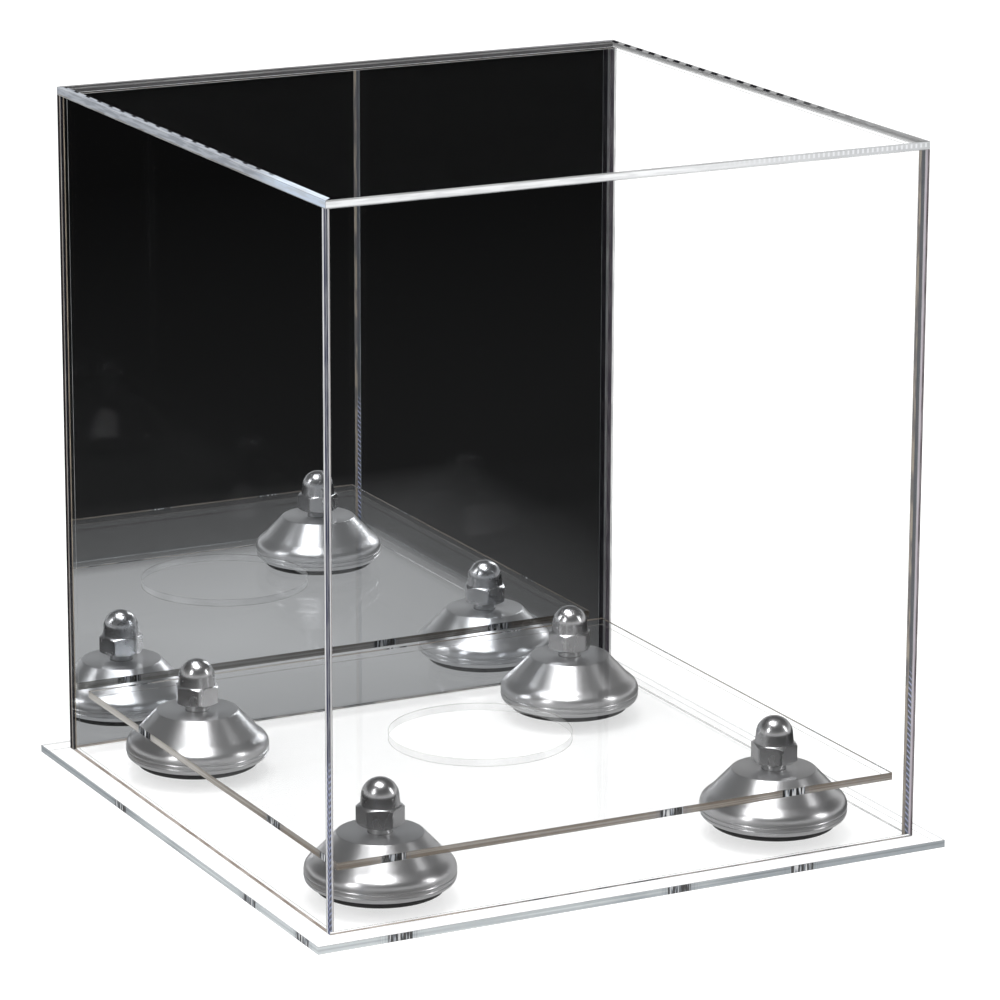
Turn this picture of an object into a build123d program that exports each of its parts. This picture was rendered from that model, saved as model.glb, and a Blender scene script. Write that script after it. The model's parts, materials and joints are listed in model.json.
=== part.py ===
from build123d import *
import os

# Display case for one ball: a flat base with four risers, a raised platform with a round
# seat hole, and a lift-off cover whose rear wall is a mirror.
# Millimetres. The origin is the middle of the base on the surface that the case stands on.
# +Z is up, the front is towards -Y and the mirror is at +Y.

os.makedirs("parts", exist_ok=True)

# Sheet that every flat panel is cut from
SHEET = 3.175
EDGE_BREAK = 0.3

# Base plate
BASE_SIDE = 279.4

# Lift-off cover
COVER_SIDE = 260.35
COVER_HEIGHT = 285.75

# Platform
PLATFORM_SIDE = 247.65
SEAT_DIAMETER = 76.2

# Four risers on a square
RISER_SPACING = 177.8
BOLT_HOLE_DIAMETER = 9.9

# Rubber ring under each riser
RING_DIAMETER = 51.0
RING_BORE = 42.0
RING_HEIGHT = 2.6

# Aluminium bell of each riser, measured from its own foot
BELL_HEIGHT = 20.5
BELL_TOP_RADIUS = 17.3
BELL_SHOULDER_RADIUS = 25.5
BELL_SHOULDER_HEIGHT = 11.7
BELL_RIM_RADIUS = 30.2
BELL_RIM_TOP = 4.9
BELL_RIM_BOTTOM = 3.4
BELL_LIP_RADIUS = 27.0
BELL_WALL = 1.8
BELL_INNER_TOP_RADIUS = 16.6
BELL_INNER_SHOULDER_RADIUS = 24.3
BELL_INNER_SHOULDER_HEIGHT = 10.4
BELL_FLANGE_RADIUS = 24.0
BELL_TOP_ROUND = 0.8
GROOVE_RADIUS = 0.5
GROOVE_HEIGHTS = (2.9, 4.7)

# Low-head bolt that holds each riser together
BOLT_DIAMETER = 9.525
BOLT_LENGTH = 41.3
BOLT_TIP_CHAMFER = 1.0
BOLT_HEAD_DIAMETER = 17.0
BOLT_HEAD_HEIGHT = 1.6
BOLT_HEAD_ROUND = 0.5
SOCKET_FLATS = 5.0
SOCKET_DEPTH = 3.2

# Cap nut on top of each riser
NUT_FLATS = 17.0
NUT_CORNERS = 19.4
NUT_HEX_HEIGHT = 8.0
NUT_HEIGHT = 19.05
NUT_FACE_RADIUS = 8.2
NUT_CHAMFER_DROP = 0.9
DOME_RADIUS = 7.6
DOME_FOOT_RADIUS = 7.95
NUT_BORE_DIAMETER = 9.7
NUT_BORE_DEPTH = 13.0
# Where the first flat of each tightened nut came to rest, in degrees from +X
NUT_TURNS = {"front_left": 4.0, "front_right": -13.0, "rear_left": -19.0, "rear_right": 21.0}

# Heights above the surface that the case stands on
base_bottom = BOLT_HEAD_HEIGHT
base_top = base_bottom + SHEET
bell_foot = base_top + RING_HEIGHT
platform_bottom = bell_foot + BELL_HEIGHT
platform_top = platform_bottom + SHEET
wall_height = COVER_HEIGHT - SHEET
top_panel_bottom = base_top + wall_height

# Inside of the bell
bolt_hole_radius = BOLT_HOLE_DIAMETER / 2
bell_inner_rim_radius = BELL_RIM_RADIUS - BELL_WALL
bell_inner_height = BELL_HEIGHT - BELL_WALL

# Places across the case
half_spacing = RISER_SPACING / 2
wall_offset = (COVER_SIDE - SHEET) / 2
side_panel_depth = COVER_SIDE - 2 * SHEET
RISER_PLACES = {
    "front_left": (-half_spacing, -half_spacing),
    "front_right": (half_spacing, -half_spacing),
    "rear_left": (-half_spacing, half_spacing),
    "rear_right": (half_spacing, half_spacing),
}


def save(piece, label):
    """Label a finished piece and write it to its own file."""
    piece.part.label = label
    export_step(piece.part, f"parts/{label}.step")


def upright_plane(place, height):
    """A plane through a riser's axis: local x is the radius and local y is the height."""
    return Plane(origin=(place[0], place[1], height), x_dir=(1, 0, 0), z_dir=(0, -1, 0))


def riser_axis(place):
    return Axis((place[0], place[1], 0), (0, 0, 1))


# ---------------------------------------------------------------- base plate and platform

with BuildPart() as base_plate:
    with BuildSketch(Plane.XY.offset(base_bottom)):
        Rectangle(BASE_SIDE, BASE_SIDE)
    extrude(amount=SHEET)
    chamfer(base_plate.faces().filter_by(Axis.Z).edges(), EDGE_BREAK)
    with BuildSketch(Plane.XY.offset(base_bottom)):
        with GridLocations(RISER_SPACING, RISER_SPACING, 2, 2):
            Circle(bolt_hole_radius)
    extrude(amount=SHEET, mode=Mode.SUBTRACT)
save(base_plate, "base_plate")

with BuildPart() as platform:
    with BuildSketch(Plane.XY.offset(platform_bottom)):
        Rectangle(PLATFORM_SIDE, PLATFORM_SIDE)
    extrude(amount=SHEET)
    chamfer(platform.faces().filter_by(Axis.Z).edges(), EDGE_BREAK)
    with BuildSketch(Plane.XY.offset(platform_bottom)):
        Circle(SEAT_DIAMETER / 2)
        with GridLocations(RISER_SPACING, RISER_SPACING, 2, 2):
            Circle(bolt_hole_radius)
    extrude(amount=SHEET, mode=Mode.SUBTRACT)
save(platform, "platform")

# ---------------------------------------------------------------- risers

for corner, place in RISER_PLACES.items():
    axis = riser_axis(place)

    with BuildPart() as ring:
        with BuildSketch(Plane.XY.offset(base_top)):
            with Locations(place):
                Circle(RING_DIAMETER / 2)
                Circle(RING_BORE / 2, mode=Mode.SUBTRACT)
        extrude(amount=RING_HEIGHT)
    save(ring, f"riser_ring_{corner}")

    # A thin spun shell: the outside runs down from the bolt hole to the rolled-in foot,
    # and the inside runs back up from the foot's flange.
    with BuildPart() as bell:
        with BuildSketch(upright_plane(place, bell_foot)):
            with BuildLine():
                Line((bolt_hole_radius, BELL_HEIGHT), (BELL_TOP_RADIUS, BELL_HEIGHT))
                flank = Line(
                    (BELL_TOP_RADIUS, BELL_HEIGHT), (BELL_SHOULDER_RADIUS, BELL_SHOULDER_HEIGHT)
                )
                Spline(
                    flank @ 1,
                    (BELL_RIM_RADIUS, BELL_RIM_TOP),
                    tangents=(flank % 1, (0, -1)),
                )
                Line((BELL_RIM_RADIUS, BELL_RIM_TOP), (BELL_RIM_RADIUS, BELL_RIM_BOTTOM))
                TangentArc(
                    (BELL_RIM_RADIUS, BELL_RIM_BOTTOM), (BELL_LIP_RADIUS, 0), tangent=(0, -1)
                )
                Polyline(
                    (BELL_LIP_RADIUS, 0),
                    (BELL_FLANGE_RADIUS, 0),
                    (BELL_FLANGE_RADIUS, BELL_WALL),
                    (BELL_LIP_RADIUS, BELL_WALL),
                )
                TangentArc(
                    (bell_inner_rim_radius, BELL_RIM_BOTTOM),
                    (BELL_LIP_RADIUS, BELL_WALL),
                    tangent=(0, -1),
                )
                Line(
                    (bell_inner_rim_radius, BELL_RIM_BOTTOM), (bell_inner_rim_radius, BELL_RIM_TOP)
                )
                inner_flank = Line(
                    (BELL_INNER_TOP_RADIUS, bell_inner_height),
                    (BELL_INNER_SHOULDER_RADIUS, BELL_INNER_SHOULDER_HEIGHT),
                )
                Spline(
                    inner_flank @ 1,
                    (bell_inner_rim_radius, BELL_RIM_TOP),
                    tangents=(inner_flank % 1, (0, -1)),
                )
                Polyline(
                    inner_flank @ 0,
                    (bolt_hole_radius, bell_inner_height),
                    (bolt_hole_radius, BELL_HEIGHT),
                )
            make_face()
            with Locations(*[(BELL_RIM_RADIUS, height) for height in GROOVE_HEIGHTS]):
                Circle(GROOVE_RADIUS, mode=Mode.SUBTRACT)
        revolve(axis=axis)
        top_edges = bell.edges().filter_by(GeomType.CIRCLE).group_by(Axis.Z)[-1]
        fillet(top_edges.sort_by(SortBy.RADIUS)[-1], BELL_TOP_ROUND)
    save(bell, f"riser_bell_{corner}")

    with BuildPart() as bolt:
        with BuildSketch(upright_plane(place, base_bottom)):
            Polygon(
                (0, -BOLT_HEAD_HEIGHT),
                (BOLT_HEAD_DIAMETER / 2, -BOLT_HEAD_HEIGHT),
                (BOLT_HEAD_DIAMETER / 2, 0),
                (BOLT_DIAMETER / 2, 0),
                (BOLT_DIAMETER / 2, BOLT_LENGTH - BOLT_TIP_CHAMFER),
                (BOLT_DIAMETER / 2 - BOLT_TIP_CHAMFER, BOLT_LENGTH),
                (0, BOLT_LENGTH),
                align=None,
            )
        revolve(axis=axis)
        fillet(bolt.edges().filter_by(GeomType.CIRCLE).sort_by(Axis.Z)[0], BOLT_HEAD_ROUND)
        with BuildSketch():
            with Locations(place):
                RegularPolygon(SOCKET_FLATS / 2, 6, major_radius=False)
        extrude(amount=SOCKET_DEPTH, mode=Mode.SUBTRACT)
    save(bolt, f"riser_bolt_{corner}")

    # The hexagon is cut to a circle at both ends, and the dome stands on it.
    with BuildPart() as nut:
        with BuildSketch(Plane.XY.offset(platform_top)):
            with Locations(place):
                RegularPolygon(
                    NUT_FLATS / 2, 6, major_radius=False, rotation=30 + NUT_TURNS[corner]
                )
        extrude(amount=NUT_HEX_HEIGHT)
        with BuildSketch(upright_plane(place, platform_top)):
            Polygon(
                (0, 0),
                (NUT_FACE_RADIUS, 0),
                (NUT_CORNERS / 2, NUT_CHAMFER_DROP),
                (NUT_CORNERS / 2, NUT_HEX_HEIGHT - NUT_CHAMFER_DROP),
                (NUT_FACE_RADIUS, NUT_HEX_HEIGHT),
                (0, NUT_HEX_HEIGHT),
                align=None,
            )
        revolve(axis=axis, mode=Mode.INTERSECT)
        with BuildSketch(upright_plane(place, platform_top)):
            with BuildLine():
                Line((0, NUT_HEX_HEIGHT / 2), (0, NUT_HEIGHT))
                RadiusArc(
                    (0, NUT_HEIGHT), (DOME_RADIUS, NUT_HEIGHT - DOME_RADIUS), DOME_RADIUS
                )
                Line(
                    (DOME_RADIUS, NUT_HEIGHT - DOME_RADIUS), (DOME_FOOT_RADIUS, NUT_HEX_HEIGHT)
                )
                Line((DOME_FOOT_RADIUS, NUT_HEX_HEIGHT), (NUT_FACE_RADIUS, NUT_HEX_HEIGHT / 2))
                Line((NUT_FACE_RADIUS, NUT_HEX_HEIGHT / 2), (0, NUT_HEX_HEIGHT / 2))
            make_face()
        revolve(axis=axis)
        with BuildSketch(Plane.XY.offset(platform_top)):
            with Locations(place):
                Circle(NUT_BORE_DIAMETER / 2)
        extrude(amount=NUT_BORE_DEPTH, mode=Mode.SUBTRACT)
    save(nut, f"cap_nut_{corner}")

# ---------------------------------------------------------------- lift-off cover

# The front and the mirror span the full width, and the two sides fit between them.
WALLS = {
    "front_panel": ((0, -wall_offset), (COVER_SIDE, SHEET)),
    "mirror_panel": ((0, wall_offset), (COVER_SIDE, SHEET)),
    "left_panel": ((-wall_offset, 0), (SHEET, side_panel_depth)),
    "right_panel": ((wall_offset, 0), (SHEET, side_panel_depth)),
}
for label, (middle, (width, depth)) in WALLS.items():
    with BuildPart() as wall:
        with BuildSketch(Plane.XY.offset(base_top)):
            with Locations(middle):
                Rectangle(width, depth)
        extrude(amount=wall_height)
    save(wall, label)

with BuildPart() as top_panel:
    with BuildSketch(Plane.XY.offset(top_panel_bottom)):
        Rectangle(COVER_SIDE, COVER_SIDE)
    extrude(amount=SHEET)
    chamfer(top_panel.faces().sort_by(Axis.Z)[-1].edges(), EDGE_BREAK)
save(top_panel, "top_panel")
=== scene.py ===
import json
import math

import bmesh
import bpy
from mathutils import Matrix, Vector


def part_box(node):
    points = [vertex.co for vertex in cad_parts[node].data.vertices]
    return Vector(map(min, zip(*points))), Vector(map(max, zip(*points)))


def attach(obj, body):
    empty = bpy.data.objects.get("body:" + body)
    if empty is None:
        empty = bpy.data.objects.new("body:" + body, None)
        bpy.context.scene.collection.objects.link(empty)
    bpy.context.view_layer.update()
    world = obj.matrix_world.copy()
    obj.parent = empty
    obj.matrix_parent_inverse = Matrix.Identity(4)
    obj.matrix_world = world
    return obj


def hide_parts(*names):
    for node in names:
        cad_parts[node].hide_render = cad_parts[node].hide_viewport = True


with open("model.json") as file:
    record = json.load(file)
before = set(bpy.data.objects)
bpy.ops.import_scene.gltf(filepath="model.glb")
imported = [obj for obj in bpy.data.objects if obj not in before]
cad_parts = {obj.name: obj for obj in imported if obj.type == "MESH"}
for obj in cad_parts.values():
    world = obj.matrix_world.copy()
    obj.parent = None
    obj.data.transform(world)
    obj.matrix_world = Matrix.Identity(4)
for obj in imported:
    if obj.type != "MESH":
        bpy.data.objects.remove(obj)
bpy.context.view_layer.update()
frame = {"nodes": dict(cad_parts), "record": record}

# ---------------------------------------------------------------- names and sizes

CORNERS = ("front_left", "front_right", "rear_left", "rear_right")
SIDE_NAMES = (("left", "right"), ("front", "rear"), ("bottom", "top"))
MM = 0.001
IOR_ACRYLIC = 1.49

# The camera: its angles round from the front and up from level, its roll, how far it stands from
# the point it is aimed at, and its lens in millimetres.
VIEW_AZIMUTH = math.radians(-27.14)
VIEW_ELEVATION = math.radians(15.03)
VIEW_ROLL = math.radians(0.18)
VIEW_DISTANCE = 2.02
VIEW_AIM = Vector((0.007, -0.0036, 0.130))
VIEW_LENS = 177.7

# The point that the lamps are aimed at.
LAMP_AIM = Vector((0, 0, 0.1))

# Space left between sheets that touch, so that no two surfaces lie in one plane.
SKIN = 0.02 * MM
INSET = Vector((SKIN, SKIN, SKIN))
POLISHED_EDGE = 0.12 * MM
COAT = 0.15 * MM

# Sizes of the riser pieces, and how far each nut is turned, in degrees.
BOLT_HOLE = 4.95 * MM
RING_WIDTH = 4.5 * MM
RING_SOFTNESS = 0.5 * MM
BELL_TOP = 17.3 * MM
BELL_SHOULDER = Vector((25.5, 11.7)) * MM
BELL_RIM_FOOT = 3.4 * MM
BELL_RIM_TOP = 4.9 * MM
BELL_LIP = 27.0 * MM
BELL_FOOT = 24.0 * MM
BELL_WALL = 1.8 * MM
BELL_SOFTNESS = 0.8 * MM
GROOVES = (4.7 * MM, 2.9 * MM)
GROOVE_RADIUS = 0.5 * MM
NUT_FLATS = 17.0 * MM
NUT_CORNERS = 19.3 * MM
NUT_FACE = 8.2 * MM
NUT_HEX = 8.0 * MM
NUT_DOME = 7.6 * MM
NUT_TURNS = {"front_left": 4, "front_right": -13, "rear_left": -19, "rear_right": 21}

# Places and sizes taken from the frame.
base_low, base_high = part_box("base_plate")
platform_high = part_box("platform")[1]
SHEET = base_high.z - base_low.z
top_low, top_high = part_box("top_panel")
cover_reach = top_high.x
SEAT_RADIUS = frame["record"]["mounts"][0]["dims"]["r_mm"] * MM


def riser_place(corner_name):
    """The point on a riser's axis at the base plate's top."""
    low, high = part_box(f"riser_bell_{corner_name}")
    centre = (low + high) / 2
    return Vector((centre.x, centre.y, base_high.z))


RISER_REACH = riser_place("rear_right").x


# ---------------------------------------------------------------- node helpers


def new_material(name):
    material = bpy.data.materials.new(name)
    material.use_nodes = True
    tree = material.node_tree
    tree.nodes.clear()
    output = tree.nodes.new("ShaderNodeOutputMaterial")
    return material, tree, output


def add(tree, kind, inputs=None, **settings):
    """A new node with its settings, and its inputs set to values or joined to other sockets."""
    node = tree.nodes.new(kind)
    for key, value in settings.items():
        setattr(node, key, value)
    for key, value in (inputs or {}).items():
        if isinstance(value, bpy.types.NodeSocket):
            tree.links.new(value, node.inputs[key])
        else:
            node.inputs[key].default_value = value
    return node


def math_node(tree, operation, *values):
    node = add(tree, "ShaderNodeMath", operation=operation)
    for index, value in enumerate(values):
        if isinstance(value, bpy.types.NodeSocket):
            tree.links.new(value, node.inputs[index])
        else:
            node.inputs[index].default_value = value
    return node.outputs[0]


def ramp(tree, factor, stops):
    """A colour ramp: stops are (position, grey or colour)."""
    node = add(tree, "ShaderNodeValToRGB", {"Fac": factor})
    elements = node.color_ramp.elements
    elements.remove(elements[1])
    elements[0].position = stops[0][0]
    for position, _ in stops[1:]:
        elements.new(position)
    for element, (_, colour) in zip(elements, stops):
        element.color = (*colour, 1) if isinstance(colour, tuple) else (colour, colour, colour, 1)
    return node.outputs["Color"]


def mix_shader(tree, factor, first, second):
    node = add(tree, "ShaderNodeMixShader", {"Fac": factor})
    tree.links.new(first, node.inputs[1])
    tree.links.new(second, node.inputs[2])
    return node.outputs[0]


# ---------------------------------------------------------------- patterns on cut edges


def step_between(tree, value, low, high):
    """0 below low and 1 above high, with a smooth step between."""
    node = add(
        tree,
        "ShaderNodeMapRange",
        {"Value": value, "From Min": low, "From Max": high},
        interpolation_type="SMOOTHSTEP",
    )
    return node.outputs["Result"]


def streaks(tree, along, across, along_scale, across_scale, low=0.35, high=0.65):
    """Noise stretched along or across an edge, from 0 to 1."""
    vector = add(
        tree,
        "ShaderNodeCombineXYZ",
        {
            "X": math_node(tree, "MULTIPLY", along, along_scale),
            "Y": math_node(tree, "MULTIPLY", across, across_scale),
        },
    ).outputs[0]
    noise = add(
        tree,
        "ShaderNodeTexNoise",
        {"Vector": vector, "Scale": 1.0, "Detail": 2.0},
        noise_dimensions="2D",
    ).outputs["Fac"]
    return step_between(tree, noise, low, high)


def beads(tree, along, across, pitch, share, slant):
    """A row of dashes, pitch apart, each filling a share of it, that lean with the slant."""
    shifted = math_node(tree, "MULTIPLY_ADD", across, slant, along)
    turn = math_node(tree, "FRACT", math_node(tree, "DIVIDE", shifted, pitch))
    rise = step_between(tree, turn, 0.0, 0.12)
    fall = step_between(tree, turn, share, share + 0.12)
    return math_node(tree, "SUBTRACT", rise, fall)


def bent_slope(from_normal):
    """How far a sight line moves sideways for each unit of depth inside the sheet. It enters a
    cut edge at an angle from the edge's normal, seen from above."""
    level_index = math.sqrt(IOR_ACRYLIC**2 - math.sin(VIEW_ELEVATION) ** 2)
    level_index /= math.cos(VIEW_ELEVATION)
    return math.tan(math.asin(math.sin(from_normal) / level_index))


# The slopes place the painted images of the bolt holes in the plate rims where sight lines from the
# camera show them; the halo is how far the painted streaks beside them reach.
FRONT_SLOPE = bent_slope(abs(VIEW_AZIMUTH))
SIDE_SLOPE = bent_slope(math.pi / 2 - abs(VIEW_AZIMUTH))
PICTURE_SOFTNESS = 0.3 * MM
HALO = 6 * MM


def bolt_pictures(tree, along, slope, half, margin):
    """1 where the painted image of a bolt hole goes in one side of a plate's rim, placed where
    refraction shows it from the camera, and up to a margin beside it.
    """
    reach = BOLT_HOLE * math.hypot(1, slope) + margin
    shown = 0.0
    for depth in (half - RISER_REACH, half + RISER_REACH):
        for place in (-RISER_REACH, RISER_REACH):
            seen = place - slope * depth
            if abs(seen) > half:
                continue
            distance = math_node(tree, "ABSOLUTE", math_node(tree, "SUBTRACT", along, seen))
            near = reach - PICTURE_SOFTNESS - margin
            fall = step_between(tree, distance, near, reach + PICTURE_SOFTNESS)
            shown = math_node(tree, "MAXIMUM", math_node(tree, "SUBTRACT", 1.0, fall), shown)
    return shown


def blend_colour(tree, factor, first, second):
    """A mix of two colours. A colour mix node takes its factor at input 0 and its colours at
    inputs 6 and 7."""
    node = add(tree, "ShaderNodeMix", data_type="RGBA")
    for index, value in ((0, factor), (6, first), (7, second)):
        socket = node.inputs[index]
        if isinstance(value, bpy.types.NodeSocket):
            tree.links.new(value, socket)
        elif isinstance(value, tuple):
            socket.default_value = (*value, 1)
        else:
            socket.default_value = value
    return node.outputs[2]


# ---------------------------------------------------------------- materials


def let_lamps_through(tree, output, seen, share):
    """Closes a see-through material: lamps pass a share of their light straight through it."""
    path = add(tree, "ShaderNodeLightPath").outputs["Is Shadow Ray"]
    passed = add(tree, "ShaderNodeBsdfTransparent", {"Color": (share, share, share, 1)}).outputs[0]
    tree.links.new(mix_shader(tree, path, seen, passed), output.inputs["Surface"])


def clear_face(name, tint, straight_on, grazing_rise):
    """A wide polished face of clear acrylic: seen straight through, with a skin of reflection."""
    material, tree, output = new_material(name)
    facing = add(tree, "ShaderNodeLayerWeight", {"Blend": 0.5}).outputs["Facing"]
    grazing = math_node(tree, "POWER", facing, 5.0)
    reflected = math_node(tree, "MULTIPLY_ADD", grazing, grazing_rise, straight_on)
    place = add(tree, "ShaderNodeTexCoord").outputs["Object"]
    wave = add(tree, "ShaderNodeTexNoise", {"Vector": place, "Scale": 9.0}).outputs["Fac"]
    ripple = add(
        tree, "ShaderNodeBump", {"Height": wave, "Strength": 0.05, "Distance": 0.2 * MM}
    ).outputs["Normal"]
    through = add(tree, "ShaderNodeBsdfTransparent", {"Color": (*tint, 1)}).outputs[0]
    skin = add(tree, "ShaderNodeBsdfGlossy", {"Roughness": 0.01, "Normal": ripple}).outputs[0]
    let_lamps_through(tree, output, mix_shader(tree, reflected, through, skin), 0.99)
    return material


# How much of a painted edge shows, and the two depths below a plate's top between which the line
# at the far side of its rim comes in.
PAINTED = 0.95
RIM_LINE = (0.8 * MM, 0.6 * MM)


def close_edge(tree, output, colour, solid):
    """The surface of a cut edge, solid to a share that is a value or a socket. Its own reflection
    is off: the reflections it shows are painted into its colour.
    """
    surface = add(
        tree,
        "ShaderNodeBsdfPrincipled",
        {
            "Base Color": colour,
            "Roughness": 0.15,
            "IOR": IOR_ACRYLIC,
            "Specular IOR Level": 0.0,
        },
    ).outputs[0]
    through = add(tree, "ShaderNodeBsdfTransparent").outputs[0]
    let_lamps_through(tree, output, mix_shader(tree, solid, through, surface), 0.8)


def plate_rim(name, half, top, pale, deep, zone, far_line, both_ways):
    """The rim of a level plate, with the light and shade seen in it painted on: long painted inner
    reflections that go from pale to deep over a zone, fine upright painted streaks near the bolt
    holes, and the painted dark images of the bolt holes, placed where refraction shows them from
    the camera. The zone is two distances from the front left corner. They count up along the front,
    and along the left side they count up too if both_ways, or down. Seen from inside the plate,
    only a line along its top shows."""
    material, tree, output = new_material(name)
    coordinates = add(tree, "ShaderNodeTexCoord")
    x, y, z = add(tree, "ShaderNodeSeparateXYZ", {"Vector": coordinates.outputs["Object"]}).outputs
    normal = add(tree, "ShaderNodeSeparateXYZ", {"Vector": coordinates.outputs["Normal"]})
    faces_x = math_node(tree, "ABSOLUTE", normal.outputs["X"])
    faces_y = math_node(tree, "ABSOLUTE", normal.outputs["Y"])
    along = math_node(tree, "MULTIPLY_ADD", x, faces_y, math_node(tree, "MULTIPLY", y, faces_x))
    away = math_node(tree, "SUBTRACT", x, y)
    if both_ways:
        away = math_node(tree, "ABSOLUTE", away)
    # Painted light and shade and painted reflections: the colour goes from pale to deep over the
    # zone, with long reflections lying in layers along the rim.
    drift = streaks(tree, along, z, 14.0, 0.0, 0.3, 0.7)
    depth = step_between(tree, math_node(tree, "MULTIPLY_ADD", drift, 0.06, away), *zone)
    painted_reflection_layers = streaks(tree, along, z, 7.0, 1100.0)
    mixed = math_node(tree, "MULTIPLY_ADD", painted_reflection_layers, 0.4, math_node(tree, "MULTIPLY", depth, 0.7))
    colour = blend_colour(tree, mixed, pale, deep)
    # Painted streaks beside the bolt images, and the painted dark image of a bolt hole seen through
    # the rim.
    painted_streaks = streaks(tree, along, z, 2600.0, 60.0, 0.4, 0.6)
    picture = ramp(
        tree, streaks(tree, along, z, 1100.0, 90.0, 0.25, 0.75),
        [(0.0, 0.012), (0.55, 0.03), (0.72, (0.16, 0.18, 0.21)), (1.0, 0.55)],
    )
    for side, slope, facing in ((x, FRONT_SLOPE, faces_y), (y, SIDE_SLOPE, faces_x)):
        halo = math_node(tree, "MULTIPLY", bolt_pictures(tree, side, slope, half, HALO), facing)
        faint = math_node(tree, "MULTIPLY", math_node(tree, "MULTIPLY", painted_streaks, halo), 0.45)
        colour = blend_colour(tree, faint, colour, (0.10, 0.11, 0.13))
        shown = math_node(tree, "MULTIPLY", bolt_pictures(tree, side, slope, half, 0.0), facing)
        colour = blend_colour(tree, shown, colour, picture)
    line = step_between(tree, z, top - RIM_LINE[0], top - RIM_LINE[1])
    behind = add(tree, "ShaderNodeNewGeometry").outputs["Backfacing"]
    hidden = math_node(tree, "MULTIPLY_ADD", line, -far_line, PAINTED)
    solid = math_node(tree, "SUBTRACT", PAINTED, math_node(tree, "MULTIPLY", behind, hidden))
    close_edge(tree, output, colour, solid)
    return material


def lined_edge(name, across, run, lines, solid, patch, patch_share, dashes=None, turn=None):
    """A cut or bonded edge of the cover, with lines of painted reflection and painted shade running
    along it, standing for what the sheet shows there. Lines gives the colours, and solid how much
    of it shows, from the sheet's inner face (0) to its outer face (1). Patches of another colour,
    painted light and shade, come and go along it. Dashes are (pitch, share, slant, band, fade,
    colour) and turn is (colour, first, last), a change of colour along the edge, painted light and
    shade."""
    material, tree, output = new_material(name)
    coordinates = add(tree, "ShaderNodeTexCoord").outputs["Object"]
    place = add(tree, "ShaderNodeSeparateXYZ", {"Vector": coordinates}).outputs
    inner = top_low.z if across == "Z" else cover_reach - SHEET
    outward = math_node(tree, "ABSOLUTE", place[across])
    share = math_node(tree, "DIVIDE", math_node(tree, "SUBTRACT", outward, inner), SHEET)
    # Painted reflection and shade: lines across the edge, a painted change of light along it, and
    # painted patches.
    colour = ramp(tree, share, lines)
    if turn:
        later, first, last = turn
        colour = blend_colour(tree, step_between(tree, place[run], first, last), colour, later)
    cloud = streaks(tree, place[run], share, 70.0, 2.5, 0.4, 0.62)
    colour = blend_colour(tree, math_node(tree, "MULTIPLY", cloud, patch_share), colour, patch)
    if dashes:
        pitch, filled, slant, band, fade, dash_colour = dashes
        row = beads(tree, place[run], outward, pitch, filled, slant)
        rise = step_between(tree, share, band[0] - 0.06, band[0])
        fall = step_between(tree, share, band[1], band[1] + 0.06)
        inside = math_node(tree, "SUBTRACT", rise, fall)
        near = step_between(tree, place[run], *fade)
        shown = math_node(tree, "MULTIPLY", math_node(tree, "MULTIPLY", row, inside), near)
        colour = blend_colour(tree, shown, colour, dash_colour)
    close_edge(tree, output, colour, ramp(tree, share, solid))
    return material


def plain_edge(name, pale, deep, solid):
    """A cut edge with a soft cloud of two colours on it."""
    material, tree, output = new_material(name)
    coordinates = add(tree, "ShaderNodeTexCoord").outputs["Object"]
    cloud = add(
        tree, "ShaderNodeTexNoise", {"Vector": coordinates, "Scale": 60.0, "Detail": 3.0}
    ).outputs["Fac"]
    colour = blend_colour(tree, step_between(tree, cloud, 0.35, 0.65), pale, deep)
    close_edge(tree, output, colour, solid)
    return material


def metal(name, colour, roughness, anisotropy, grain_scale, grain_depth):
    """Turned metal: fine rings round the axis, and a soft cloud of wear in the roughness."""
    material, tree, output = new_material(name)
    place = add(tree, "ShaderNodeTexCoord").outputs["Object"]
    wear = add(
        tree, "ShaderNodeTexNoise", {"Vector": place, "Scale": 60.0, "Detail": 3.0}
    ).outputs["Fac"]
    rough = math_node(tree, "MULTIPLY_ADD", wear, roughness * 0.3, roughness * 0.85)
    split = add(tree, "ShaderNodeSeparateXYZ", {"Vector": place})
    flat = add(tree, "ShaderNodeCombineXYZ", {"X": split.outputs["X"], "Y": split.outputs["Y"]})
    radius = add(
        tree, "ShaderNodeVectorMath", {0: flat.outputs[0]}, operation="LENGTH"
    ).outputs["Value"]
    ring_place = add(tree, "ShaderNodeCombineXYZ", {"X": radius, "Z": split.outputs["Z"]})
    rings = add(
        tree,
        "ShaderNodeTexNoise",
        {"Vector": ring_place.outputs[0], "Scale": grain_scale, "Detail": 3.0},
    ).outputs["Fac"]
    bump = add(
        tree, "ShaderNodeBump", {"Height": rings, "Strength": 0.15, "Distance": grain_depth}
    ).outputs["Normal"]
    tangent = add(tree, "ShaderNodeTangent", direction_type="RADIAL", axis="Z").outputs[0]
    shader = add(
        tree,
        "ShaderNodeBsdfPrincipled",
        {
            "Base Color": (*colour, 1),
            "Metallic": 1.0,
            "Roughness": rough,
            "Anisotropic": anisotropy,
            "Anisotropic Rotation": 0.25,
            "Normal": bump,
            "Tangent": tangent,
        },
    )
    tree.links.new(shader.outputs[0], output.inputs["Surface"])
    return material


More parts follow.
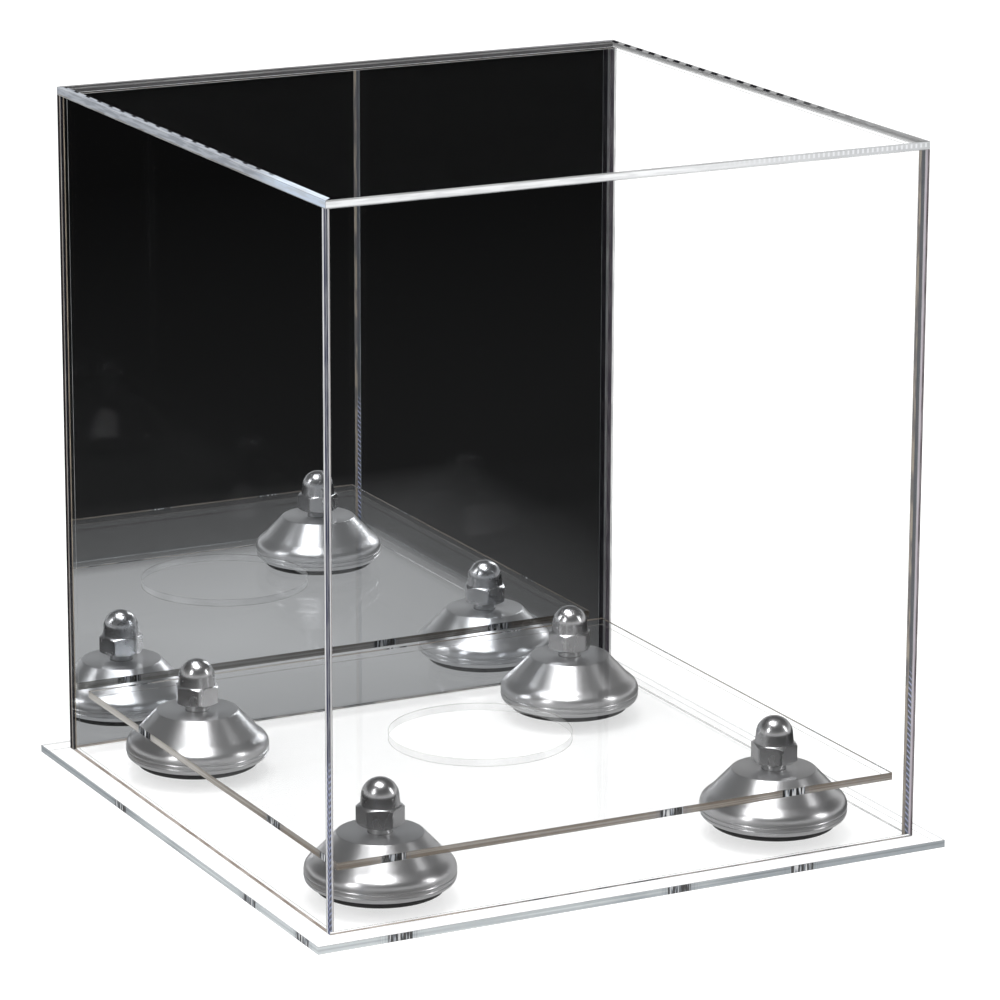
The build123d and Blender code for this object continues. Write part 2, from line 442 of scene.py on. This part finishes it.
def plain(name, colour, roughness, metallic=0.0, bump_depth=0.02 * MM):
    """A solid surface with a fine even grain."""
    material, tree, output = new_material(name)
    place = add(tree, "ShaderNodeTexCoord").outputs["Object"]
    grain = add(
        tree, "ShaderNodeTexNoise", {"Vector": place, "Scale": 900.0, "Detail": 3.0}
    ).outputs["Fac"]
    rough = math_node(tree, "MULTIPLY_ADD", grain, roughness * 0.4, roughness * 0.8)
    bump = add(
        tree, "ShaderNodeBump", {"Height": grain, "Strength": 0.3, "Distance": bump_depth}
    ).outputs["Normal"]
    shader = add(
        tree,
        "ShaderNodeBsdfPrincipled",
        {
            "Base Color": (*colour, 1),
            "Metallic": metallic,
            "Roughness": rough,
            "Normal": bump,
        },
    )
    tree.links.new(shader.outputs[0], output.inputs["Surface"])
    return material


# Colours for the cut edges: painted reflections and painted shade, and the dashes in their cement.
DUSK = (0.012, 0.011, 0.013)
BLUE_DUSK = (0.045, 0.047, 0.075)
PALE_BLUE = (0.25, 0.28, 0.42)
TAN = (0.26, 0.225, 0.18)
SLATE = (0.22, 0.235, 0.262)
SMOKE = (0.30, 0.30, 0.31)
SOLID = [(0.0, PAINTED)]
FOOT_SOLID = [(0.0, 0.06), (0.4, 0.06), (0.5, 0.9), (1.0, 0.9)]

cover_face = clear_face("clear_cover_face", (0.999, 0.999, 0.999), 0.006, 0.05)
lid_face = clear_face("clear_lid_face", (0.999, 0.999, 0.999), 0.001, 0.006)
deck_face = clear_face("clear_deck_face", (0.998, 0.999, 0.999), 0.02, 0.3)
arris = plain_edge("polished_arris", (0.36, 0.375, 0.38), (0.20, 0.21, 0.215), 0.8)
dark_arris = plain_edge("platform_arris", (0.20, 0.19, 0.18), (0.08, 0.075, 0.07), 0.85)
# Painted reflections, painted shade and painted bolt-hole images in the rims of the base plate and
# the platform.
base_rim = plate_rim(
    "base_rim", base_high.x, base_high.z, (0.48, 0.51, 0.52), (0.15, 0.17, 0.185),
    (130 * MM, 210 * MM), 0.35, True,
)
platform_rim = plate_rim(
    "platform_rim", platform_high.x, platform_high.z, (0.44, 0.43, 0.41), (0.13, 0.11, 0.09),
    (-200 * MM, 0.0), 0.85, False,
)
hole_wall = plain_edge("hole_wall", (0.60, 0.61, 0.61), (0.35, 0.36, 0.36), 0.25)
hidden_end = plain_edge("hidden_end", (0.40, 0.41, 0.42), (0.20, 0.21, 0.22), 0.1)
# The feet of the cover's walls: a painted dark line of shade and reflection where each wall stands
# on the platform, with painted dark stretches along the front and right ones.
front_foot = lined_edge(
    "front_wall_foot", "Y", "X", [(0.0, (0.20, 0.16, 0.13))], FOOT_SOLID,
    (0.5, 0.45, 0.4), 0.4, turn=(DUSK, -75 * MM, -45 * MM),
)
side_foot = lined_edge(
    "side_wall_foot", "X", "Y", [(0.0, (0.17, 0.13, 0.10))], FOOT_SOLID,
    (0.45, 0.41, 0.37), 0.5,
)
right_foot = lined_edge(
    "right_wall_foot", "X", "Y", [(0.0, (0.36, 0.36, 0.35))],
    [(0.0, 0.04), (0.6, 0.04), (0.7, 0.6), (1.0, 0.6)], (0.5, 0.5, 0.49), 0.5,
    turn=((0.05, 0.05, 0.05), -80 * MM, -100 * MM),
)


def low_dashes(first, last):
    """The fine dashes low down in the cement of an upright edge, in a band across it."""
    return (2.4 * MM, 0.35, 1.2, (first, last), (78 * MM, 66 * MM), PALE_BLUE)


# The upright edges of the cover and the ends of the mirror: bands of painted reflection and painted
# shade, light and dark, across each edge.
left_wall_front = lined_edge(
    "left_wall_front_bond", "X", "Z",
    [(0.0, (0.20, 0.17, 0.16)), (0.09, (0.24, 0.21, 0.20)), (0.14, 0.60), (0.25, 0.60),
     (0.31, BLUE_DUSK), (1.0, BLUE_DUSK)],
    SOLID, SMOKE, 0.25,
    dashes=low_dashes(0.30, 1.0),
)
front_left_end = lined_edge(
    "front_panel_left_end", "Y", "Z",
    [(0.0, 0.28), (0.10, 0.28), (0.16, 0.66), (0.34, 0.66), (0.42, BLUE_DUSK), (1.0, BLUE_DUSK)],
    SOLID, SMOKE, 0.25,
    dashes=low_dashes(0.42, 1.0),
)
right_wall_front = lined_edge(
    "right_wall_front_bond", "X", "Z",
    [(0.0, (0.10, 0.08, 0.07)), (0.08, TAN), (0.42, TAN), (0.50, (0.05, 0.06, 0.07)),
     (0.94, (0.07, 0.08, 0.09)), (1.0, 0.25)],
    SOLID, (0.07, 0.07, 0.08), 0.75,
    dashes=low_dashes(0.50, 0.94),
)
front_right_end = lined_edge(
    "front_panel_right_end", "Y", "Z",
    [(0.0, (0.42, 0.37, 0.42)), (0.42, (0.42, 0.37, 0.42)), (0.50, (0.05, 0.035, 0.04)),
     (1.0, (0.05, 0.035, 0.04))],
    SOLID, (0.62, 0.58, 0.60), 0.2,
)
left_wall_rear = lined_edge(
    "left_wall_rear_bond", "X", "Z",
    [(0.0, TAN), (0.55, TAN), (0.62, DUSK), (1.0, DUSK)],
    [(0.0, 0.0), (0.42, 0.0), (0.48, 0.85), (1.0, 0.95)], DUSK, 0.3,
)
right_wall_rear = lined_edge(
    "right_wall_rear_bond", "X", "Z",
    [(0.0, (0.03, 0.026, 0.033)), (0.66, (0.03, 0.026, 0.033)), (0.76, 0.60), (1.0, 0.60)],
    SOLID, (0.10, 0.095, 0.10), 0.35,
)
mirror_end = lined_edge(
    "mirror_end", "Y", "Z",
    [(0.0, (0.20, 0.17, 0.15)), (0.24, (0.20, 0.17, 0.15)), (0.34, DUSK), (1.0, DUSK)],
    SOLID, DUSK, 0.3,
)
# The edges of the top panel and the bonds under them: bands of painted reflection and painted
# shade, the front edge painted light and the rear ones painted dark with the mirror's reflection.
top_left_border = lined_edge(
    "top_left_bond", "X", "Y", [(0.0, (0.18, 0.19, 0.21)), (0.3, SLATE), (1.0, SLATE)], SOLID,
    (0.38, 0.40, 0.43), 0.6,
    dashes=(12.0 * MM, 0.34, 1.0, (0.0, 0.34), (-90 * MM, -70 * MM), DUSK),
    turn=((0.50, 0.56, 0.64), -62 * MM, -88 * MM),
)
top_left_edge = lined_edge(
    "top_left_edge", "Z", "Y",
    [(0.0, (0.16, 0.13, 0.10)), (0.08, (0.16, 0.13, 0.10)), (0.16, SLATE), (1.0, SLATE)], SOLID,
    (0.36, 0.38, 0.41), 0.6, turn=((0.42, 0.48, 0.57), -62 * MM, -88 * MM),
)
top_right_border = lined_edge(
    "top_right_bond", "X", "Y", [(0.0, 0.20), (0.78, 0.20), (0.86, 0.36), (1.0, 0.36)], SOLID,
    (0.30, 0.31, 0.32), 0.3,
    dashes=(10.9 * MM, 0.50, -1.2, (0.0, 0.86), (-110 * MM, -10 * MM), (0.004, 0.004, 0.006)),
)
top_right_edge = lined_edge(
    "top_right_edge", "Z", "Y", [(0.0, 0.36), (0.28, 0.36), (0.36, 0.20), (1.0, 0.20)],
    [(0.0, 0.0), (0.04, 0.0), (0.1, 0.95), (1.0, 0.95)], (0.30, 0.31, 0.32), 0.3,
)
top_front_edge = lined_edge(
    "top_front_edge", "Z", "X",
    [(0.0, 0.45), (0.08, 0.50), (0.16, (0.70, 0.71, 0.72)), (0.74, (0.76, 0.77, 0.78)),
     (0.84, 0.30), (1.0, 0.30)],
    SOLID, (0.52, 0.53, 0.54), 0.5, turn=((0.42, 0.43, 0.44), 0.0, 110 * MM),
    dashes=(2.2 * MM, 0.4, 0.0, (0.35, 0.80), (20 * MM, 60 * MM), (0.62, 0.63, 0.65)),
)
rear_border = lined_edge(
    "rear_top_bond", "Y", "X",
    [(0.0, DUSK), (0.25, DUSK), (0.38, 0.28), (0.55, 0.28), (0.68, 0.02), (1.0, 0.02)], SOLID,
    (0.16, 0.16, 0.17), 0.4, turn=((0.20, 0.20, 0.21), 40 * MM, 120 * MM),
)
rear_edge = lined_edge(
    "rear_top_edge", "Z", "X",
    [(0.0, DUSK), (0.42, DUSK), (0.50, 0.20), (0.62, 0.20), (0.70, 0.02), (1.0, 0.02)], SOLID,
    (0.05, 0.05, 0.055), 0.4,
)
aluminium = metal("turned_aluminium", (0.70, 0.70, 0.71), 0.30, 0.65, 2500.0, 0.01 * MM)
chrome = metal("nut_chrome", (0.56, 0.56, 0.57), 0.27, 0.0, 1500.0, 0.004 * MM)
steel = metal("bolt_steel", (0.55, 0.55, 0.56), 0.3, 0.3, 2000.0, 0.02 * MM)
rubber = plain("black_rubber", (0.012, 0.012, 0.012), 0.55)
mirror_coat = plain("mirror_coat", (0.84, 0.86, 0.88), 0.004, metallic=1.0, bump_depth=0.0)
mirror_paint = plain("mirror_back_paint", (0.10, 0.105, 0.11), 0.5)

# ---------------------------------------------------------------- mesh helpers


def finish_piece(mesh, name, body, nodes, origin=(0, 0, 0), smooth_angle=10):
    """Makes an object of a mesh and hides the CAD nodes it stands for."""
    mesh.shade_smooth()
    mesh.set_sharp_from_angle(angle=math.radians(smooth_angle))
    piece = bpy.data.objects.new(name, mesh)
    piece.location = origin
    bpy.context.scene.collection.objects.link(piece)
    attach(piece, body)
    if nodes:
        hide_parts(*nodes)


def sheet_mesh(name, low, high, bevel, border=0.0):
    """A flat sheet with softly bevelled edges. A border is a frame of faces round its top."""
    bm = bmesh.new()
    bmesh.ops.create_cube(bm, size=1.0)
    bmesh.ops.scale(bm, vec=high - low, verts=bm.verts)
    bmesh.ops.translate(bm, vec=(low + high) / 2, verts=bm.verts)
    bmesh.ops.bevel(
        bm, geom=bm.edges[:], offset=bevel, offset_type="OFFSET", segments=3, profile=0.5,
        affect="EDGES",
    )
    if border:
        top = max(bm.faces, key=lambda face: face.calc_center_median().z)
        bmesh.ops.inset_region(bm, faces=[top], thickness=border, use_even_offset=True)
    mesh = bpy.data.meshes.new(name)
    bm.to_mesh(mesh)
    bm.free()
    return mesh


def side_of(face, thin_axis, border):
    """Which part of a sheet a face is on: wide, arris, a side that its cut edge looks to, or a
    side of the border round its top."""
    normal = face.normal
    axis = max(range(3), key=lambda index: abs(normal[index]))
    if abs(normal[axis]) < 0.999:
        return "arris"
    if axis != thin_axis:
        return SIDE_NAMES[axis][normal[axis] > 0]
    reach = max(range(2), key=lambda index: abs(face.center[index]))
    if border and normal.z > 0 and abs(face.center[reach]) > border:
        return "border_" + SIDE_NAMES[reach][face.center[reach] > 0]
    return "wide"


def dress(mesh, thin_axis, looks, border=0.0):
    """Gives each face of a sheet the material that looks names for its side, or else for edge."""
    order = list(dict.fromkeys(looks.values()))
    for material in order:
        mesh.materials.append(material)
    for face in mesh.polygons:
        side = side_of(face, thin_axis, border)
        kind = "wide" if side.startswith("border") else "edge"
        face.material_index = order.index(looks.get(side, looks[kind]))


def add_ring(curve, centre, radius):
    """A round hole in a flat curve, as four Bezier quarters."""
    spline = curve.splines.new("BEZIER")
    spline.bezier_points.add(3)
    spline.use_cyclic_u = True
    handle = radius * 4 / 3 * math.tan(math.pi / 8)
    for index, point in enumerate(spline.bezier_points):
        angle = -index * math.pi / 2
        out = Vector((math.cos(angle), math.sin(angle), 0))
        along = Vector((-math.sin(angle), math.cos(angle), 0))
        point.co = centre + out * radius
        point.handle_left = point.co + along * handle
        point.handle_right = point.co - along * handle
    spline.resolution_u = 24


def plate_outline(name, low, high, holes):
    """A square flat curve with round holes, given a plate's thickness and bevel, on an object."""
    curve = bpy.data.curves.new(name, "CURVE")
    curve.dimensions = "2D"
    curve.fill_mode = "BOTH"
    curve.extrude = (high.z - low.z) / 2 - POLISHED_EDGE
    curve.bevel_depth = POLISHED_EDGE
    curve.bevel_resolution = 2
    curve.offset = -POLISHED_EDGE - SKIN
    outline = curve.splines.new("POLY")
    outline.points.add(3)
    outline.use_cyclic_u = True
    corners = ((low.x, low.y), (high.x, low.y), (high.x, high.y), (low.x, high.y))
    for point, (x, y) in zip(outline.points, corners):
        point.co = (x, y, 0, 1)
    for x, y, radius in holes:
        add_ring(curve, Vector((x, y, 0)), radius)
    holder = bpy.data.objects.new(name, curve)
    bpy.context.scene.collection.objects.link(holder)
    return holder


def plate_part(face, reach):
    """The part of a plate that a face is on: 0 wide face, 1 rim, 2 arris or 3 hole."""
    centre = face.calc_center_median()
    at_rim = max(abs(centre.x), abs(centre.y)) > reach - SHEET / 2
    if abs(face.normal.z) > 0.999:
        return 0
    if abs(face.normal.z) > 0.01:
        return 2
    return 1 if at_rim else 3


def plate_mesh(name, low, high, holes, looks):
    """A level plate with round holes, (x, y, radius) each, and bevelled edges. Its looks are the
    materials of its wide faces, its rim, its arrises and its holes."""
    holder = plate_outline(name, low, high, holes)
    curve = holder.data
    graph = bpy.context.evaluated_depsgraph_get()
    mesh = bpy.data.meshes.new_from_object(holder.evaluated_get(graph))
    bpy.data.objects.remove(holder)
    bpy.data.curves.remove(curve)
    mesh.transform(Matrix.Translation((0, 0, (low.z + high.z) / 2)))
    mesh.materials.clear()
    bm = bmesh.new()
    bm.from_mesh(mesh)
    bmesh.ops.remove_doubles(bm, verts=bm.verts, dist=0.1 * SKIN)
    bmesh.ops.recalc_face_normals(bm, faces=bm.faces)
    for face in bm.faces:
        face.material_index = plate_part(face, high.x)
    bm.to_mesh(mesh)
    bm.free()
    for material in looks:
        mesh.materials.append(material)
    return mesh


def arc(centre, radius, start, end, steps):
    """Points along an arc in the (radius, height) plane, from start to end in degrees."""
    points = []
    for step in range(steps + 1):
        angle = math.radians(start + (end - start) * step / steps)
        points.append((centre[0] + radius * math.cos(angle), centre[1] + radius * math.sin(angle)))
    return points


def spline_points(start, start_pull, end_pull, end, steps):
    """Points along a cubic curve, without its first one."""
    points = []
    for step in range(1, steps + 1):
        t = step / steps
        a = start.lerp(start_pull, t)
        b = start_pull.lerp(end_pull, t)
        c = end_pull.lerp(end, t)
        points.append(tuple(a.lerp(b, t).lerp(b.lerp(c, t), t)))
    return points


def turned_mesh(name, profile, segments):
    """A closed (radius, height) outline turned about Z."""
    bm = bmesh.new()
    rings = []
    for radius, height in profile:
        ring = []
        for index in range(segments):
            angle = 2 * math.pi * index / segments
            ring.append(bm.verts.new((radius * math.cos(angle), radius * math.sin(angle), height)))
        rings.append(ring)
    for first, second in zip(rings, rings[1:] + rings[:1]):
        for index in range(segments):
            after = (index + 1) % segments
            bm.faces.new((first[index], first[after], second[after], second[index]))
    bmesh.ops.recalc_face_normals(bm, faces=bm.faces)
    mesh = bpy.data.meshes.new(name)
    bm.to_mesh(mesh)
    bm.free()
    return mesh


# ---------------------------------------------------------------- plates


def plate(node, holes, rim, edge):
    """A level plate of the base."""
    low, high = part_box(node)
    mesh = plate_mesh(f"{node}_sheet", low, high, holes, (deck_face, rim, edge, hole_wall))
    finish_piece(mesh, f"{node}_sheet", "base", [node])


bolt_holes = [(place.x, place.y, BOLT_HOLE) for place in map(riser_place, CORNERS)]
plate("base_plate", bolt_holes, base_rim, arris)
plate("platform", bolt_holes + [(0, 0, SEAT_RADIUS)], platform_rim, dark_arris)

# ---------------------------------------------------------------- risers


def riser_ring(corner_name):
    """The black rubber ring under a bell."""
    low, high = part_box(f"riser_ring_{corner_name}")
    outer = (high.x - low.x) / 2
    height = high.z - low.z - 2 * SKIN
    inner = outer - RING_WIDTH
    soft = RING_SOFTNESS
    profile = (
        arc((outer - soft, soft), soft, -90, 0, 4)
        + arc((outer - soft, height - soft), soft, 0, 90, 4)
        + arc((inner + soft, height - soft), soft, 90, 180, 4)
        + arc((inner + soft, soft), soft, 180, 270, 4)
    )
    name = f"rubber_ring_{corner_name}"
    mesh = turned_mesh(name, profile, segments=96)
    mesh.materials.append(rubber)
    place = riser_place(corner_name)
    finish_piece(
        mesh, name, "base", [f"riser_ring_{corner_name}"],
        origin=place + Vector((0, 0, SKIN)), smooth_angle=30,
    )


def bell_outside(height, rim):
    """A bell's outside, from the edge of its flat top down to its lip, with an upright rim band."""
    rim_top = Vector((rim, BELL_RIM_TOP))
    rim_foot = Vector((rim, BELL_RIM_FOOT))
    slope = (BELL_SHOULDER - Vector((BELL_TOP, height))).normalized()
    flank = math.degrees(math.atan2(slope.x, -slope.y))
    round_centre = (BELL_TOP - BELL_SOFTNESS * 0.4, height - BELL_SOFTNESS)
    outside = arc(round_centre, BELL_SOFTNESS, 90, flank, 5)
    outside.append(tuple(BELL_SHOULDER))
    reach = (BELL_SHOULDER - rim_top).length
    start_pull = BELL_SHOULDER + slope * reach * 0.45
    end_pull = rim_top + Vector((0, reach * 0.5))
    outside += spline_points(BELL_SHOULDER, start_pull, end_pull, rim_top, 60)
    outside += [(rim, rim_top.y + (rim_foot.y - rim_top.y) * step / 8) for step in range(1, 9)]
    drop = rim_foot.y
    outside += [
        (BELL_LIP + (rim - BELL_LIP) * math.cos(angle), drop - drop * math.sin(angle))
        for angle in (math.pi / 2 * step / 40 for step in range(1, 41))
    ]
    return outside


def cut_grooves(outline):
    """An outline with two shallow turned grooves in it, at the top of the rim band and below it."""
    grooved = []
    for radius, level in outline:
        dent = 0.0
        for groove in GROOVES:
            dent += math.sqrt(max(GROOVE_RADIUS**2 - (level - groove) ** 2, 0.0))
        grooved.append((radius - (dent if radius > BELL_SHOULDER.x else 0.0), level))
    return grooved


def bell_inside(height, rim):
    """A bell's inside, from the inner edge of its foot up to the bolt hole."""
    return [
        (BELL_FOOT, 0.0),
        (BELL_FOOT, BELL_WALL),
        (BELL_LIP, BELL_WALL),
        (rim - BELL_WALL, BELL_RIM_FOOT),
        (rim - BELL_WALL, BELL_RIM_TOP),
        (BELL_SHOULDER.x - 1.2 * MM, BELL_SHOULDER.y - 1.3 * MM),
        (BELL_TOP - 0.7 * MM, height - BELL_WALL),
        (BOLT_HOLE, height - BELL_WALL),
        (BOLT_HOLE, height),
    ]


def riser_bell(corner_name):
    """A spun aluminium bell."""
    low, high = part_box(f"riser_bell_{corner_name}")
    rim = (high.x - low.x) / 2
    height = high.z - low.z - 2 * SKIN
    name = f"bell_{corner_name}"
    profile = cut_grooves(bell_outside(height, rim)) + bell_inside(height, rim)
    mesh = turned_mesh(name, profile, segments=192)
    mesh.materials.append(aluminium)
    place = riser_place(corner_name)
    finish_piece(
        mesh, name, "base", [f"riser_bell_{corner_name}"],
        origin=Vector((place.x, place.y, low.z + SKIN)), smooth_angle=25,
    )


def nut_column(angle, height):
    """A cap nut's outline at an angle from the middle of a flat, bottom to top."""
    local = (angle + math.pi / 6) % (math.pi / 3) - math.pi / 6
    reach = min(NUT_FLATS / 2 / math.cos(local), NUT_CORNERS / 2)
    rise = max(reach - NUT_FACE, 0.0) * math.tan(math.radians(30))
    outline = [
        (NUT_FACE, 0.0),
        (reach, rise),
        (reach, NUT_HEX - rise),
        (NUT_FACE + 0.1 * MM, NUT_HEX),
        (NUT_DOME + 0.35 * MM, NUT_HEX + 0.1 * MM),
    ]
    return outline + arc((0, height - NUT_DOME), NUT_DOME, 0, 86, 20)


def riser_nut(corner_name):
    """A chromed cap nut: a chamfered hexagon with a domed cap."""
    low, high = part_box(f"cap_nut_{corner_name}")
    height = high.z - low.z - 2 * SKIN
    turn = math.radians(NUT_TURNS[corner_name])
    segments = 144
    bm = bmesh.new()
    columns = []
    for index in range(segments):
        angle = 2 * math.pi * index / segments
        direction = Vector((math.cos(angle + turn), math.sin(angle + turn), 0))
        columns.append(
            [bm.verts.new(direction * r + Vector((0, 0, z))) for r, z in nut_column(angle, height)]
        )
    tip = bm.verts.new((0, 0, height))
    for here, there in zip(columns, columns[1:] + columns[:1]):
        for row in range(len(here) - 1):
            bm.faces.new((here[row], there[row], there[row + 1], here[row + 1]))
        bm.faces.new((here[-1], there[-1], tip))
    bm.faces.new([column[0] for column in reversed(columns)])
    bmesh.ops.recalc_face_normals(bm, faces=bm.faces)
    name = f"nut_{corner_name}"
    mesh = bpy.data.meshes.new(name)
    bm.to_mesh(mesh)
    bm.free()
    mesh.materials.append(chrome)
    place = riser_place(corner_name)
    finish_piece(
        mesh, name, "base", [f"cap_nut_{corner_name}"],
        origin=Vector((place.x, place.y, low.z + SKIN)), smooth_angle=22,
    )


for corner_name in CORNERS:
    riser_ring(corner_name)
    riser_bell(corner_name)
    riser_nut(corner_name)
    for bolt_slot in frame["nodes"][f"riser_bolt_{corner_name}"].material_slots:
        bolt_slot.material = steel

# ---------------------------------------------------------------- cover


def cover_sheet(node, thin_axis, looks, border=0.0):
    """One sheet of the cover, a hair smaller than its CAD solid."""
    low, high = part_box(node)
    mesh = sheet_mesh(f"{node}_sheet", low + INSET, high - INSET, POLISHED_EDGE, border)
    dress(mesh, thin_axis, looks, border)
    finish_piece(mesh, f"{node}_sheet", "cover", [node])


cover_sheet(
    "front_panel", 1,
    {"wide": cover_face, "edge": hidden_end, "arris": arris, "bottom": front_foot,
     "left": front_left_end, "right": front_right_end},
)
cover_sheet(
    "left_panel", 0,
    {"wide": cover_face, "edge": hidden_end, "arris": arris, "bottom": side_foot,
     "front": left_wall_front, "rear": left_wall_rear},
)
cover_sheet(
    "right_panel", 0,
    {"wide": cover_face, "edge": hidden_end, "arris": arris, "bottom": right_foot,
     "front": right_wall_front, "rear": right_wall_rear},
)
cover_sheet(
    "top_panel", 2,
    {"wide": lid_face, "edge": rear_edge, "arris": arris, "left": top_left_edge,
     "right": top_right_edge, "front": top_front_edge, "border_left": top_left_border,
     "border_right": top_right_border, "border_rear": rear_border},
    border=SHEET,
)


def mirror():
    """The mirror sheet: clear acrylic with a reflecting coat on its back, painted over."""
    low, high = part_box("mirror_panel")
    back = Vector((0, COAT + SKIN, 0))
    mesh = sheet_mesh("mirror_panel_sheet", low + INSET, high - INSET - back, POLISHED_EDGE)
    dress(mesh, 1, {"wide": cover_face, "edge": mirror_end, "arris": arris, "bottom": front_foot})
    finish_piece(mesh, "mirror_panel_sheet", "cover", ["mirror_panel"])
    coat_low = Vector((low.x, high.y - COAT - SKIN, low.z)) + Vector((SKIN, 0, SKIN))
    coat = sheet_mesh("mirror_coating", coat_low, high - INSET, COAT / 5)
    coat.materials.append(mirror_coat)
    coat.materials.append(mirror_paint)
    for face in coat.polygons:
        face.material_index = 0 if face.normal.y < -0.5 else 1
    finish_piece(coat, "mirror_coating", "cover", [])


mirror()

# ---------------------------------------------------------------- stage


def stage_plane(name, size, place, material):
    """A level square that belongs to the studio and not to the case."""
    bm = bmesh.new()
    bmesh.ops.create_grid(bm, x_segments=1, y_segments=1, size=size / 2)
    mesh = bpy.data.meshes.new(name)
    bm.to_mesh(mesh)
    bm.free()
    mesh.materials.append(material)
    plane = bpy.data.objects.new(name, mesh)
    plane.location = place
    bpy.context.scene.collection.objects.link(plane)


def floor_material():
    """A pale floor. What shines sees it light under the case and dark beyond it."""
    material, tree, output = new_material("pale_floor")
    path = add(tree, "ShaderNodeLightPath").outputs["Is Glossy Ray"]
    pale = add(tree, "ShaderNodeBsdfDiffuse", {"Color": (0.4, 0.4, 0.4, 1)}).outputs[0]
    glow = add(tree, "ShaderNodeEmission", {"Strength": 0.75}).outputs[0]
    lit = add(tree, "ShaderNodeAddShader")
    tree.links.new(pale, lit.inputs[0])
    tree.links.new(glow, lit.inputs[1])
    place = add(tree, "ShaderNodeNewGeometry").outputs["Position"]
    spot = add(tree, "ShaderNodeSeparateXYZ", {"Vector": place})
    reach = math_node(
        tree,
        "MAXIMUM",
        math_node(tree, "ABSOLUTE", spot.outputs["X"]),
        math_node(tree, "ABSOLUTE", spot.outputs["Y"]),
    )
    shade = ramp(
        tree, reach, [(0.0, 0.55), (0.13, 0.40), (0.15, 0.06), (0.25, 0.012), (1.0, 0.004)]
    )
    dim = add(tree, "ShaderNodeEmission", {"Color": shade, "Strength": 1.0}).outputs[0]
    tree.links.new(mix_shader(tree, path, lit.outputs[0], dim), output.inputs["Surface"])
    return material


stage_plane("floor", 8, (0, 0, 0), floor_material())


def softbox(name, place, size, power):
    """A rectangular area light aimed at the case."""
    light = bpy.data.lights.new(name, "AREA")
    light.shape = "RECTANGLE"
    light.size, light.size_y = size
    light.energy = power
    lamp = bpy.data.objects.new(name, light)
    lamp.location = place
    aim = LAMP_AIM - Vector(place)
    lamp.rotation_euler = aim.to_track_quat("-Z", "Y").to_euler()
    bpy.context.scene.collection.objects.link(lamp)


softbox("light_above", (-0.2, -0.1, 1.5), (0.8, 0.6), 11)
softbox("light_left", (-1.4, -0.5, 1.0), (0.3, 0.8), 5)
softbox("light_right", (1.3, -0.9, 0.8), (0.25, 0.8), 4)


def studio_world():
    """White where the camera looks. What shines sees a pale band near the horizon, dark walls
    above it and a pale ceiling."""
    world = bpy.data.worlds.new("studio")
    bpy.context.scene.world = world
    world.use_nodes = True
    tree = world.node_tree
    tree.nodes.clear()
    output = tree.nodes.new("ShaderNodeOutputWorld")
    path = add(tree, "ShaderNodeLightPath").outputs["Is Glossy Ray"]
    direction = add(tree, "ShaderNodeTexCoord").outputs["Generated"]
    height = add(tree, "ShaderNodeSeparateXYZ", {"Vector": direction}).outputs["Z"]
    shade = ramp(
        tree, height,
        [(0.0, 0.7), (0.22, 0.6), (0.40, 0.12), (0.80, 0.08), (0.95, 0.25), (1.0, 0.30)],
    )
    white = add(tree, "ShaderNodeBackground", {"Color": (1, 1, 1, 1)}).outputs[0]
    gloom = add(tree, "ShaderNodeBackground", {"Color": shade}).outputs[0]
    tree.links.new(mix_shader(tree, path, white, gloom), output.inputs["Surface"])


studio_world()
bpy.context.scene.view_settings.view_transform = "Standard"
paths = bpy.context.scene.cycles
paths.max_bounces = 32
paths.transparent_max_bounces = 64
paths.glossy_bounces = 8

# ---------------------------------------------------------------- camera


def place_camera():
    """Left of the front and a little above, with a long lens."""
    back = Vector(
        (
            math.sin(VIEW_AZIMUTH) * math.cos(VIEW_ELEVATION),
            -math.cos(VIEW_AZIMUTH) * math.cos(VIEW_ELEVATION),
            math.sin(VIEW_ELEVATION),
        )
    )
    lens = bpy.data.cameras.new("camera")
    lens.lens = VIEW_LENS
    lens.clip_end = 100
    camera = bpy.data.objects.new("camera", lens)
    camera.location = VIEW_AIM + back * VIEW_DISTANCE
    look = (-back).to_track_quat("-Z", "Y").to_matrix().to_4x4()
    camera.rotation_euler = (look @ Matrix.Rotation(VIEW_ROLL, 4, "Z")).to_euler()
    bpy.context.scene.collection.objects.link(camera)
    bpy.context.scene.camera = camera


place_camera()
